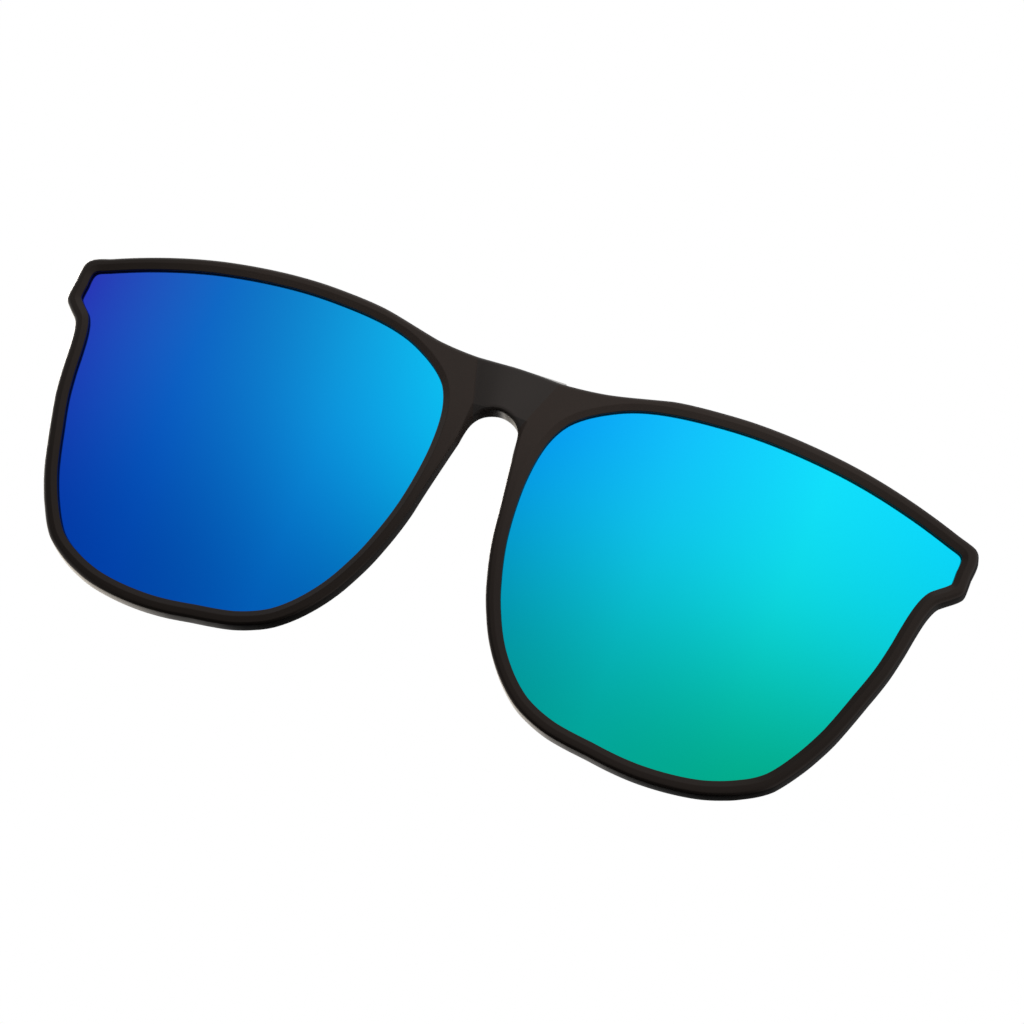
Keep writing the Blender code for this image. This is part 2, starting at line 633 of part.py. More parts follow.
def main():
    clear_scene()
    nylon = material("satin_nylon", (0.022, 0.019, 0.017), 0.45)
    tints = {
        -1: material("mirror_lens_left", (0.0, 0.09, 0.65), 0.08, 0.9),
        1: material("mirror_lens_right", (0.0, 0.45, 0.65), 0.08, 0.9),
    }
    steel = material("brushed_clip_steel", (0.45, 0.44, 0.43), 0.32, 1.0)
    bright = material("bright_wire_steel", (0.62, 0.61, 0.60), 0.2, 1.0)
    silicone = material("clear_grey_silicone", (0.35, 0.35, 0.36), 0.5)

    datum = empty("datum", (0, 0, 0))
    datum.location = (0, -CLAMP_Y, -CLAMP_Z)
    flip_axis = empty("flip_axis", (0, FLIP_Y, FLIP_Z), datum)
    jaw_axis = empty("jaw_axis", (0, JAW_Y, JAW_Z), datum)

    build_front(flip_axis, nylon, tints)
    build_flip_hinge(flip_axis, steel, bright)
    build_clamp(datum, steel, bright, silicone)
    build_lever(jaw_axis, steel, bright, silicone)


main()
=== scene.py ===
import json
import math

import bmesh
import bpy
from mathutils import Matrix, Vector


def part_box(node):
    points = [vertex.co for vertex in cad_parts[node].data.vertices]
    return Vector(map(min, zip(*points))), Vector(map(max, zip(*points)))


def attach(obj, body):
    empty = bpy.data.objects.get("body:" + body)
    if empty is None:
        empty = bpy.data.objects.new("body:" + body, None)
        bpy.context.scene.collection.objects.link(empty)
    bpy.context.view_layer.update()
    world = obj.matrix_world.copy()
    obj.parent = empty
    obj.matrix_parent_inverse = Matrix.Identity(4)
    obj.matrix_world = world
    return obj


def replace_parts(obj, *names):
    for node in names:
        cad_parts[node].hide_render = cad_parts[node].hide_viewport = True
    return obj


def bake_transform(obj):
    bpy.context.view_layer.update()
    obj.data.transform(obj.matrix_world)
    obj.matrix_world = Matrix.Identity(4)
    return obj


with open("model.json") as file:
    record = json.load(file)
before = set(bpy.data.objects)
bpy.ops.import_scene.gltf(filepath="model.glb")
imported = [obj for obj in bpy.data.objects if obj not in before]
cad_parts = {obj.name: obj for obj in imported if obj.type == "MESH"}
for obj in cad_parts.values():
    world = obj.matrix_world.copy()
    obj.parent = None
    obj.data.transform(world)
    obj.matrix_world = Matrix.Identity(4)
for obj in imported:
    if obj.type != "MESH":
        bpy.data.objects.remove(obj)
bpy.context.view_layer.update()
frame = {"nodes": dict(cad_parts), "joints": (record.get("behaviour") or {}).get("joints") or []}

MM = 0.001

# The stand for the whole scene: a camera low and to the right of the front, looking up at it, with
# the front leaning over clockwise. Everything is placed from the front's apex, which is the middle
# of the bridge at the lenses' mid-height.
apex = Vector((0, -11.1 * MM, -8.9 * MM))
camera = bpy.data.objects.new("camera", bpy.data.cameras.new("camera"))
bpy.context.collection.objects.link(camera)
bpy.context.scene.camera = camera
camera.data.lens = 130.7
camera.data.clip_end = 20
lean, tilt, pan = 0.4064, -0.3491, -0.2406
turn = Matrix.Rotation(lean, 3, "Y") @ Matrix.Rotation(tilt, 3, "X") @ Matrix.Rotation(pan, 3, "Z")
camera_to_apex = Vector((-7.875, 534.5, 0.66)) * MM
camera_pose = turn.transposed() @ Matrix.Rotation(math.radians(90), 3, "X")
camera_place = Matrix.Translation(apex - turn.transposed() @ camera_to_apex)
camera.matrix_world = camera_place @ camera_pose.to_4x4()


# The studio: a pale paper floor under soft round lamps, in a plain white surround. What the glossy
# pieces mirror is shaded as in a real studio, with a warm card behind on the left.
class Shade:
    """An output of a node. Operators on it add Math nodes, and node() adds any other."""

    def __init__(self, tree, socket=None):
        self.tree = tree
        self.socket = socket

    def node(self, kind, settings, inputs, output=0):
        made = self.tree.nodes.new("ShaderNode" + kind)
        for name, value in settings.items():
            if name != "stops":
                setattr(made, name, value)
                continue
            ramp = made.color_ramp
            ramp.elements.remove(ramp.elements[1])
            ramp.elements[0].position, ramp.elements[0].color = value[0][0], (*value[0][1], 1)
            for place, colour in value[1:]:
                ramp.elements.new(place).color = (*colour, 1)
        for name, value in inputs.items():
            if isinstance(value, Shade):
                self.tree.links.new(value.socket, made.inputs[name])
            else:
                made.inputs[name].default_value = value
        return Shade(self.tree, made.outputs[output])

    def maths(self, operation, *values):
        return self.node("Math", {"operation": operation}, dict(enumerate(values)))

    def __add__(self, other):
        return self.maths("ADD", self, other)

    __radd__ = __add__

    def __sub__(self, other):
        return self.maths("SUBTRACT", self, other)

    def __rsub__(self, other):
        return self.maths("SUBTRACT", other, self)

    def __mul__(self, other):
        return self.maths("MULTIPLY", self, other)

    __rmul__ = __mul__

    def between(self, low, high):
        """0 below low and 1 above high, eased in between."""
        ends = {"Value": self, "From Min": low, "From Max": high}
        return self.node("MapRange", {"interpolation_type": "SMOOTHSTEP"}, ends)


def part_of(vector, axis):
    """One coordinate of a Shade that holds a vector."""
    return vector.node("SeparateXYZ", {}, {"Vector": vector}, axis)


world = bpy.data.worlds.new("studio")
bpy.context.scene.world = world
world.use_nodes = True
surround = Shade(world.node_tree)
towards = surround.node("TexCoord", {}, {}, "Generated")
ahead, right, up = (part_of(towards, axis) for axis in "YXZ")
back, left, down = -1 * ahead, -1 * right, -1 * up
middle = 1 - (right * right).between(0.2, 0.4)
shade_left = 0.42 * (left.between(0.2, 0.55) * back.between(0.0, 0.5))
shade_low = 0.3 * (down.between(-0.42, -0.12) * back.between(0.0, 0.5))
shade_behind = 0.85 * (ahead.between(0.2, 0.7) * right.between(-0.25, 0.05))
shade_above = 0.8 * (ahead.between(0.15, 0.5) * up.between(0.15, 0.5) * middle)
shade_beneath = 0.85 * (ahead.between(-0.1, 0.25) * down.between(0.0, 0.3) * middle)
shade_down = 0.85 * down.between(0.55, 0.8)
lit = (1 - shade_left) * (1 - shade_low) * (1 - shade_behind)
lit = lit * (1 - shade_above) * (1 - shade_beneath) * (1 - shade_down)
card = 1.4 * (ahead.between(0.55, 0.85) * left.between(0.2, 0.36))
warm = 0.2 * (ahead.between(0.2, 0.7) * left.between(0.1, 0.5))
seen = surround.node("LightPath", {}, {}, "Is Camera Ray")
warm_shares = {"Red": 0, "Green": 0.4, "Blue": 1}
glow = surround.node("CombineColor", {}, {
    channel: seen + (1 - seen) * ((lit + card) * (1 - share * warm))
    for channel, share in warm_shares.items()
})
background = world.node_tree.nodes["Background"]
world.node_tree.links.new(glow.socket, background.inputs["Color"])
background.inputs["Strength"].default_value = 1.0
bpy.context.scene.view_settings.view_transform = "Standard"
lamp_distance = 0.9


def soft_box(name, direction, size, watts, mirrored, colour=(1, 1, 1)):
    """A round lamp facing the part from a direction, which glossy pieces mirror or not."""
    lamp = bpy.data.lights.new(name, "AREA")
    lamp.shape = "DISK"
    lamp.size = size
    lamp.energy = watts
    lamp.color = colour
    stand = bpy.data.objects.new(name, lamp)
    bpy.context.collection.objects.link(stand)
    stand.location = Vector(direction).normalized() * lamp_distance
    stand.rotation_euler = Vector(direction).to_track_quat("Z", "Y").to_euler()
    stand.visible_camera = False
    stand.visible_glossy = mirrored


soft_box("key_light", (0.25, -0.3, 0.9), 0.5, 2.5, False)
soft_box("rim_light", (0.1, 0.6, 0.9), 0.4, 5, False)
soft_box("back_light", (-0.6, 0.6, 0.35), 0.4, 4, True, (1.0, 0.95, 0.88))


def new_finish(name, **fixed):
    """A material with its shader's unchanging values, and a Shade that starts its patterns."""
    made = bpy.data.materials.new(name)
    made.use_nodes = True
    for socket, value in fixed.items():
        made.node_tree.nodes["Principled BSDF"].inputs[socket.replace("_", " ")].default_value = value
    return made, Shade(made.node_tree)


def feed(finish, **patterns):
    """Joins patterns to the shader's sockets."""
    for socket, shade in patterns.items():
        inputs = finish.node_tree.nodes["Principled BSDF"].inputs
        finish.node_tree.links.new(shade.socket, inputs[socket.replace("_", " ")])


floor_radius = 8
floor_drop = 0.27
bm = bmesh.new()
bmesh.ops.create_circle(bm, cap_ends=True, segments=96, radius=floor_radius)
bmesh.ops.translate(bm, verts=bm.verts, vec=(0, 0, -floor_drop))
floor_mesh = bpy.data.meshes.new("floor")
bm.to_mesh(floor_mesh)
bm.free()
floor = bpy.data.objects.new("floor", floor_mesh)
bpy.context.collection.objects.link(floor)
paper, start = new_finish("pale_paper", Base_Color=(0.84, 0.84, 0.83, 1), Roughness=0.9)
where = start.node("TexCoord", {}, {}, "Object")
fibres = start.node("TexNoise", {}, {"Vector": where, "Scale": 900, "Detail": 4})
feed(paper, Normal=start.node("Bump", {}, {"Height": fibres, "Distance": 0.0002, "Strength": 0.3}))
floor_mesh.materials.append(paper)
floor.visible_glossy = False


# The front: one injection-moulded nylon shape with two lens openings, a wide bridge with a raised
# saddle, and square outer corners. Its outer edge is turned over more at the back than in front,
# and a flat bezel slopes from a fine ridge on each rim down to the lip that holds the lens.
rim_width = 2.15 * MM
rim_depth = 2.9 * MM
base_radius = 312 * MM
bridge_top = 23.9 * MM
arch_top = 16.4 * MM
arch_half_width = 3.9 * MM
saddle_half_width = 6.6 * MM
saddle_foot = 4.2 * MM
saddle_rise = 0.6 * MM
lens_seat = 0.8 * MM
lens_front = 0.9 * MM
lens_thickness = 1.1 * MM
fine_step = 0.5 * MM
coarse_step = 3.5 * MM
corner_steps = 3
corner_turn = math.radians(35)
outer_radius = 1.1 * MM
inner_radius = 0.55 * MM
saddle_lean = (saddle_half_width - saddle_foot) / (bridge_top - arch_top)
lens_low, lens_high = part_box("lens_right")
lens_middle = (lens_low + lens_high) / 2 - apex
opening_half = (lens_high - lens_low) / 2 - Vector((lens_seat, 0, lens_seat))

# The right-hand opening, clockwise from the nose, in half widths and half heights.
opening_shape = (
    (-1.0, 0.27), (-0.98, 0.53), (-0.92, 0.69), (-0.76, 0.84), (-0.59, 0.925), (-0.28, 0.985),
    (0.0, 1.0), (0.37, 0.97), (0.70, 0.895), (0.93, 0.8175), (1.0, 0.792), (1.0, 0.70),
    (1.0, 0.612), (0.955, 0.558), (0.922, 0.52), (0.90, 0.475), (0.88, 0.405), (0.862, 0.30),
    (0.845, 0.165), (0.818, 0.0), (0.77, -0.19), (0.70, -0.44), (0.615, -0.645), (0.53, -0.79),
    (0.43, -0.875), (0.27, -0.955), (0.0, -1.0), (-0.25, -0.98), (-0.44, -0.95), (-0.60, -0.875),
    (-0.755, -0.70), (-0.86, -0.49), (-0.922, -0.30), (-0.972, -0.07),
)


def smooth_loop(points, longest, fewest=1):
    """A closed centripetal Catmull-Rom curve through the points, in steps of about longest."""
    loop = []
    count = len(points)
    for i in range(count):
        p = [points[(i + k) % count] for k in (-1, 0, 1, 2)]
        knots = [0.0]
        for a, b in zip(p, p[1:]):
            knots.append(knots[-1] + math.sqrt((b - a).length))
        steps = max(fewest, round((p[2] - p[1]).length / longest))
        for step in range(steps):
            t = knots[1] + (knots[2] - knots[1]) * step / steps
            level = p
            for span in (1, 2, 3):
                lows = knots if span < 3 else knots[1:]
                width = min(span, 2)
                level = [
                    a.lerp(b, (t - lows[j]) / (lows[j + width] - lows[j]))
                    for j, (a, b) in enumerate(zip(level, level[1:]))
                ]
            loop.append(level[0])
    return loop


def cut_corners(points, radius):
    """The loop with each sharp corner replaced by the two ends of its rounding."""
    kept = []
    for i, point in enumerate(points):
        before = (point - points[i - 1]).normalized()
        after = (points[(i + 1) % len(points)] - point).normalized()
        turn = before.angle(after)
        if turn < corner_turn:
            kept.append(point)
        else:
            cut = radius * math.tan(turn / 2)
            kept += [point - before * cut, point + after * cut]
    return kept


def offset_loop(loop, distance):
    """The loop moved outwards with mitred corners. A clockwise loop has its outside on the left."""
    moved = []
    for i, point in enumerate(loop):
        before = (point - loop[i - 1]).normalized()
        after = (loop[(i + 1) % len(loop)] - point).normalized()
        along = (before + after).normalized()
        moved.append(point + Vector((-along.y, along.x)) * distance / along.dot(before))
    return moved


opening_points = [
    Vector((u * opening_half.x + lens_middle.x, v * opening_half.z)) for u, v in opening_shape
]


def opening_loop(side):
    """The visible edge of one lens, in x and z."""
    loop = smooth_loop(cut_corners(opening_points, inner_radius), fine_step, corner_steps)
    return loop if side > 0 else [Vector((-x, z)) for x, z in reversed(loop)]


def front_loop():
    """The front's whole outline: the rims' outer edges, the bridge's top and the nose arch."""
    rim = offset_loop(smooth_loop(opening_points, coarse_step), rim_width)
    brow_x = lens_middle.x - 0.6 * opening_half.x
    nose_z = 0.14 * opening_half.z
    kept = [p.x > brow_x or p.y < nose_z for p in rim]
    first = next(i for i, keep in enumerate(kept) if keep and not kept[i - 1])
    rim = [rim[(first + i) % len(rim)] for i in range(sum(kept))]
    half = [
        Vector((0, bridge_top)),
        Vector((saddle_half_width, bridge_top)),
        Vector(((saddle_half_width + rim[0].x) / 2 - 1.5 * MM, bridge_top + 0.7 * MM)),
        *rim,
        Vector((arch_half_width + 0.4 * MM, arch_top - 6.0 * MM)),
        Vector((0.93 * arch_half_width, arch_top - 2.2 * MM)),
        Vector((0.6 * arch_half_width, arch_top - 0.7 * MM)),
        Vector((0, arch_top)),
    ]
    mirrored = [Vector((-x, z)) for x, z in reversed(half[1:-1])]
    return smooth_loop(cut_corners(half + mirrored, outer_radius), fine_step, corner_steps)


def ring_edges(bm, ring):
    """The edges of a closed ring of corners, made where they are missing."""
    return [bm.edges.get(pair) or bm.edges.new(pair) for pair in zip(ring, ring[1:] + ring[:1])]


def extruded(bm, ring, loop, depth):
    """Extrudes a ring of corners to a loop of the same length at a depth, and returns the new ring."""
    grown = bmesh.ops.extrude_edge_only(bm, edges=ring_edges(bm, ring))["geom"]
    new = {item for item in grown if isinstance(item, bmesh.types.BMVert)}
    moved = []
    for corner, (x, z) in zip(ring, loop):
        others = (edge.other_vert(corner) for edge in corner.link_edges)
        twin = next(other for other in others if other in new)
        twin.co = (x, depth, z)
        moved.append(twin)
    return moved


def swept(bm, loop, section):
    """Walls a loop with rings at (outward offset, depth), and returns its first and last ring."""
    out, depth = section[0]
    first = [bm.verts.new((x, depth, z)) for x, z in offset_loop(loop, out)]
    ring = first
    for out, depth in section[1:]:
        ring = extruded(bm, ring, offset_loop(loop, out), depth)
    return first, ring


def quarter(radius, start, steps):
    """(sine, cosine) of each step round a quarter turn of a rounded edge, times its radius."""
    angles = [math.radians(start + 90 * i / steps) for i in range(steps + 1)]
    return [(radius * math.sin(a), radius * math.cos(a)) for a in angles]


def domed(bm, raised):
    """Bends flat work to the front's base curve, lifts its saddle by raised and puts it in place."""
    for vert in bm.verts:
        x, y, z = vert.co
        vert.co.y += (x * x + z * z) / (2 * base_radius)
        share = abs(x) / max(saddle_foot + saddle_lean * (z - arch_top), 0.01 * MM)
        vert.co.y -= raised * max(0, 1 - share * share) * (1 - y / rim_depth)
    bmesh.ops.translate(bm, verts=bm.verts, vec=apex)


def piece_from(bm, name, body, slot, *finishes, sharp=35):
    """Ends a bmesh as a smooth-shaded piece that rides on a body."""
    mesh = bpy.data.meshes.new(name)
    bm.to_mesh(mesh)
    bm.free()
    mesh.shade_smooth()
    mesh.set_sharp_from_angle(angle=math.radians(sharp))
    for finish in finishes:
        mesh.materials.append(finish)
    piece = bpy.data.objects.new(name, mesh)
    bpy.context.collection.objects.link(piece)
    if body:
        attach(piece, body)
    return piece


def carve(piece, cutter):
    """Cuts one bmesh shape out of a piece and keeps the result as the piece's mesh."""
    mesh = bpy.data.meshes.new("cutter")
    bmesh.ops.recalc_face_normals(cutter, faces=cutter.faces)
    cutter.to_mesh(mesh)
    cutter.free()
    tool = bpy.data.objects.new("cutter", mesh)
    bpy.context.collection.objects.link(tool)
    cut = piece.modifiers.new("cut", "BOOLEAN")
    cut.operation = "DIFFERENCE"
    cut.object = tool
    graph = bpy.context.evaluated_depsgraph_get()
    carved = bpy.data.meshes.new_from_object(piece.evaluated_get(graph))
    piece.modifiers.clear()
    piece.data = carved
    bpy.data.objects.remove(tool)


def block(low, high):
    """A bmesh box between two corners."""
    bm = bmesh.new()
    bmesh.ops.create_cube(bm, size=1)
    bmesh.ops.scale(bm, verts=bm.verts, vec=Vector(high) - Vector(low))
    bmesh.ops.translate(bm, verts=bm.verts, vec=(Vector(high) + Vector(low)) / 2)
    return bm


front_round = 0.65 * MM
back_round = 0.5 * MM
lip_round = 0.3 * MM
groove_front, groove_back, groove_depth = 0.8 * MM, 2.1 * MM, 1.0 * MM
back_centre = rim_depth - back_round
lip_centre = rim_depth - lip_round
outer_section = [(-0.75 * MM, 0)]
outer_section += [(s - front_round, front_round - c) for s, c in quarter(front_round, 0, 8)]
outer_section += [(s - back_round, back_centre - c) for s, c in quarter(back_round, 90, 6)]
outer_section.append((-0.7 * MM, rim_depth))
opening_section = [
    (1.15 * MM, 0.0), (1.0 * MM, 0.0), (0.93 * MM, 0.01 * MM), (0.86 * MM, 0.05 * MM),
    (0.16 * MM, 0.34 * MM), (0.05 * MM, 0.4 * MM), (0.0, 0.5 * MM), (0.0, groove_front),
    (groove_depth, groove_front), (groove_depth, groove_back), (0.0, groove_back),
]
opening_section += [(lip_round - s, lip_centre - c) for s, c in quarter(lip_round, 90, 4)]
opening_section.append((lip_round + 0.15 * MM, rim_depth))

bm = bmesh.new()
walls = [swept(bm, front_loop(), outer_section)]
walls += [swept(bm, opening_loop(side), opening_section) for side in (1, -1)]
for rings in zip(*walls):
    edges = [edge for ring in rings for edge in ring_edges(bm, ring)]
    bmesh.ops.triangle_fill(bm, use_beauty=True, use_dissolve=False, edges=edges)
run = Vector((saddle_half_width - saddle_foot, 0, bridge_top - arch_top))
half_cuts = (0.15, 0.3, 0.45, 0.6, 0.75, 0.9, 1.0, 1.04)
for share in (*(-cut for cut in reversed(half_cuts)), 0, *half_cuts):
    across = Vector((run.z, 0, -run.x * share))
    bmesh.ops.bisect_plane(
        bm, geom=bm.verts[:] + bm.edges[:] + bm.faces[:], dist=0.001 * MM,
        plane_co=(share * saddle_half_width, 0, bridge_top), plane_no=across.normalized(),
    )
domed(bm, saddle_rise)
bmesh.ops.recalc_face_normals(bm, faces=bm.faces)

nylon, start = new_finish(
    "satin_nylon", Specular_IOR_Level=0.25, Specular_Tint=(1.0, 0.8, 0.7, 1),
    Coat_Roughness=0.28, Coat_IOR=1.5,
)
where = start.node("TexCoord", {}, {}, "Object")
clouds = start.node("TexNoise", {}, {"Vector": where, "Scale": 60, "Detail": 3, "Roughness": 0.6})
grain = start.node("TexNoise", {}, {"Vector": where, "Scale": 5500, "Detail": 2})
rub = start.node("TexNoise", {}, {"Vector": where, "Scale": 700, "Detail": 5, "Roughness": 0.7})
sideways = part_of(where, "X").maths("ABSOLUTE", part_of(where, "X"))
height = part_of(where, "Z")
past_saddle = sideways - saddle_lean * (height - (arch_top + apex.z))
polished = 1 - past_saddle.between(saddle_foot - 0.15 * MM, saddle_foot + 0.05 * MM)
# Painted shade: the nylon's base colour is painted darker towards both outer ends.
outward = sideways.between(42 * MM, 68 * MM)
below_arch = 1 - height.between(apex.z + arch_top - 0.3 * MM, apex.z + arch_top)
under_arch = below_arch * (1 - sideways.between(4.2 * MM, 4.5 * MM))
# Painted light: the nylon's base colour is painted lighter towards the top.
upper = height.between(apex.z - 14 * MM, apex.z + 22 * MM)
# This mask paints the light and shade into the base colour: lighter towards the top, darker at the ends.
# The polished saddle keeps the darker tone, which is its own finish.
painted_light_mask = upper * (1 - 0.85 * polished) * (1 - 0.65 * outward)
dark_tone = {"stops": ((0.3, (0.0010, 0.0008, 0.0007)), (0.7, (0.0018, 0.0013, 0.0011)))}
# The lighter tone is the painted light; its warm brown tint is the frame's own colour.
painted_lit_brown_tone = {"stops": ((0.3, (0.0065, 0.0036, 0.0022)), (0.7, (0.0095, 0.0054, 0.0036)))}
dark, painted_lit_brown = (start.node("ValToRGB", tone, {"Fac": clouds}) for tone in (dark_tone, painted_lit_brown_tone))
feed(
    nylon,
    Base_Color=start.node("Mix", {"data_type": "RGBA"}, {0: painted_light_mask, 6: dark, 7: painted_lit_brown}, 2),
    Roughness=0.27 + 0.08 * clouds + 0.05 * rub + 0.6 * under_arch,
    Coat_Weight=0.34 * polished + 0.2 * painted_light_mask,
    Normal=start.node("Bump", {}, {"Height": grain, "Distance": 0.00001, "Strength": 0.35}),
)
moulded_front = piece_from(bm, "moulded_front", "front", "satin_nylon", nylon)
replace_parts(moulded_front, "front_frame")
plate_low, plate_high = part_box("hinge_bracket")
pocket_gap = 0.3 * MM
knuckle_rise = 1.8 * MM
carve(moulded_front, block(
    (plate_low.x - pocket_gap, plate_low.y - pocket_gap, plate_low.z - pocket_gap),
    (plate_high.x + pocket_gap, plate_high.y, plate_high.z - knuckle_rise),
))


# The lenses: polarising film between two carrier sheets, pressed to the base curve, with a mirror
# coating on the outside only. Seen from the front each is a bright mirror whose colour drifts
# across it, and from behind it is smoke grey.
sunlit = {
    -1: {
        "top": (
            (0.0, (0.041, 0.06, 0.80)), (0.35, (0.009, 0.25, 0.96)),
            (0.7, (0.007, 0.48, 1.0)), (1.0, (0.004, 0.63, 1.0)),
        ),
        "foot": (
            (0.0, (0.001, 0.05, 0.78)), (0.4, (0.001, 0.125, 0.95)),
            (0.75, (0.001, 0.19, 0.88)), (1.0, (0.001, 0.15, 0.60)),
        ),
    },
    1: {
        "top": (
            (0.0, (0.002, 0.32, 0.95)), (0.3, (0.006, 0.53, 1.0)),
            (0.65, (0.006, 0.75, 1.0)), (1.0, (0.003, 0.67, 1.0)),
        ),
        "foot": (
            (0.0, (0.001, 0.35, 0.38)), (0.35, (0.001, 0.53, 0.44)),
            (0.7, (0.001, 0.56, 0.33)), (1.0, (0.002, 0.52, 0.24)),
        ),
    },
}
smoke, start = new_finish("smoke_lens_back", Specular_IOR_Level=0.5)
where = start.node("TexCoord", {}, {}, "Object")
haze = start.node("TexNoise", {}, {"Vector": where, "Scale": 45, "Detail": 2})
tint = {"stops": ((0.25, (0.018, 0.019, 0.021)), (0.75, (0.028, 0.028, 0.030)))}
feed(smoke, Base_Color=start.node("ValToRGB", tint, {"Fac": haze}), Roughness=0.05 + 0.04 * haze)

lens_rings = 28
lens_back = lens_front + lens_thickness
edge_break = 0.12 * MM
drift_margin = 6 * MM
for side, word in ((-1, "left"), (1, "right")):
    bm = bmesh.new()
    outline = offset_loop(opening_loop(side), lens_seat - 0.05 * MM)
    centre = Vector((side * lens_middle.x, 0))
    rings = swept(bm, outline, [
        (-edge_break, lens_front), (0, lens_front + edge_break),
        (0, lens_back - edge_break), (-edge_break, lens_back),
    ])
    inner = offset_loop(outline, -edge_break)
    for ring, depth in zip(rings, (lens_front, lens_back)):
        for i in range(1, lens_rings):
            loop = [point.lerp(centre, i / lens_rings) for point in inner]
            ring = extruded(bm, ring, loop, depth)
        bmesh.ops.contextual_create(bm, geom=ring_edges(bm, ring))
    domed(bm, 0)
    bmesh.ops.recalc_face_normals(bm, faces=bm.faces)
    for face in bm.faces:
        face.material_index = 0 if face.normal.y < -0.5 else 1

    mirror, start = new_finish(f"mirror_coat_{word}", Metallic=1.0)
    low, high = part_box(f"lens_{word}")
    where = start.node("TexCoord", {}, {}, "Object")
    span = {"Value": part_of(where, "X"), "From Min": low.x, "From Max": high.x}
    across = start.node("MapRange", {}, span)
    raised = part_of(where, "Z").between(low.z - drift_margin, high.z + drift_margin)
    top, foot = (
        start.node("ValToRGB", {"stops": sunlit[side][end]}, {"Fac": across}) for end in ("top", "foot")
    )
    polish = start.node("TexNoise", {}, {"Vector": where, "Scale": 120, "Detail": 2})
    feed(
        mirror,
        Base_Color=start.node("Mix", {"data_type": "RGBA"}, {0: raised, 6: foot, 7: top}, 2),
        Roughness=0.07 + 0.03 * polish,
    )
    lens = piece_from(bm, f"mirror_lens_{word}", "front", f"mirror_lens_{word}", mirror, smoke)
    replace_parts(lens, f"lens_{word}")


# The hinge bracket: a brushed steel plate let into the back of the bridge, with two knuckles that
# carry the flip pin. It is blanked and rolled from strip, so every edge is softly broken.
def steel_finish(name, colour, roughness, scratch, direction):
    """Steel with fine lines along one axis, from brushing or drawing."""
    made, start = new_finish(name, Metallic=1.0)
    where = start.node("TexCoord", {}, {}, "Object")
    squeezed = start.node("Mapping", {}, {"Vector": where, "Scale": direction})
    lines = start.node("TexNoise", {}, {"Vector": squeezed, "Scale": 1000, "Detail": 4, "Roughness": 0.65})
    patches = start.node("TexNoise", {}, {"Vector": where, "Scale": 350, "Detail": 3})
    light = tuple(min(1.0, c * 1.18) for c in colour)
    dark = tuple(c * 0.8 for c in colour)
    shades = {"stops": ((0.3, dark), (0.7, light))}
    feed(
        made,
        Base_Color=start.node("ValToRGB", shades, {"Fac": 0.6 * lines + 0.4 * patches}),
        Roughness=roughness - 0.08 + 0.12 * lines + 0.06 * patches,
        Normal=start.node("Bump", {}, {"Height": lines, "Distance": scratch, "Strength": 0.5}),
    )
    return made


brushed = steel_finish("brushed_clip_steel", (0.46, 0.45, 0.44), 0.30, 0.000006, (0.15, 3, 3))
bright = steel_finish("bright_wire_steel", (0.66, 0.65, 0.64), 0.16, 0.000002, (0.3, 2, 2))


def broken_edges(name, node, body, slot, finish, width, above=28):
    """A piece with its solid's own shape and a small bevel on each edge over an angle."""
    bm = bmesh.new()
    bm.from_mesh(frame["nodes"][node].data)
    bmesh.ops.remove_doubles(bm, verts=bm.verts, dist=0.002 * MM)
    bmesh.ops.dissolve_limit(bm, angle_limit=math.radians(1), verts=bm.verts[:], edges=bm.edges[:])
    edges = [edge for edge in bm.edges if edge.calc_face_angle(0) > math.radians(above)]
    bmesh.ops.bevel(
        bm, geom=edges, affect="EDGES", offset=width, segments=2, profile=0.5, material=-1,
        clamp_overlap=True,
    )
    bmesh.ops.triangulate(bm, faces=[face for face in bm.faces if len(face.verts) > 4])
    made = piece_from(bm, name, body, slot, finish, sharp=40)
    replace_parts(made, node)
    return made


broken_edges("bracket_plate", "hinge_bracket", "front", "brushed_clip_steel", brushed, 0.1 * MM)


# The detent leaf: a strip of bright spring steel screwed over the bracket. Its tongue presses on
# the flats of the clip's barrel, so the front clicks up or down.
broken_edges("detent_leaf", "detent_spring", "front", "bright_wire_steel", bright, 0.04 * MM)


# Two slotted screws hold the leaf and the bracket to the bridge. They are turned from bright steel,
# with domed heads, and their points are just broken.
def turned(bm, profile, axis, centre, sides=48):
    """Spins a profile of (distance along the axis, radius) about an axis through centre."""
    along = {"X": Vector((1, 0, 0)), "Y": Vector((0, 1, 0)), "Z": Vector((0, 0, 1))}[axis]
    outwards = Vector((0, 0, 1)) if axis != "Z" else Vector((1, 0, 0))
    corners = [bm.verts.new(Vector(centre) + along * t + outwards * r) for t, r in profile]
    edges = [bm.edges.new(pair) for pair in zip(corners, corners[1:])]
    bmesh.ops.spin(
        bm, geom=corners + edges, cent=centre, axis=along, angle=math.tau, steps=sides, use_merge=True
    )
    bmesh.ops.remove_doubles(bm, verts=bm.verts, dist=0.0005 * MM)
    bmesh.ops.recalc_face_normals(bm, faces=bm.faces)


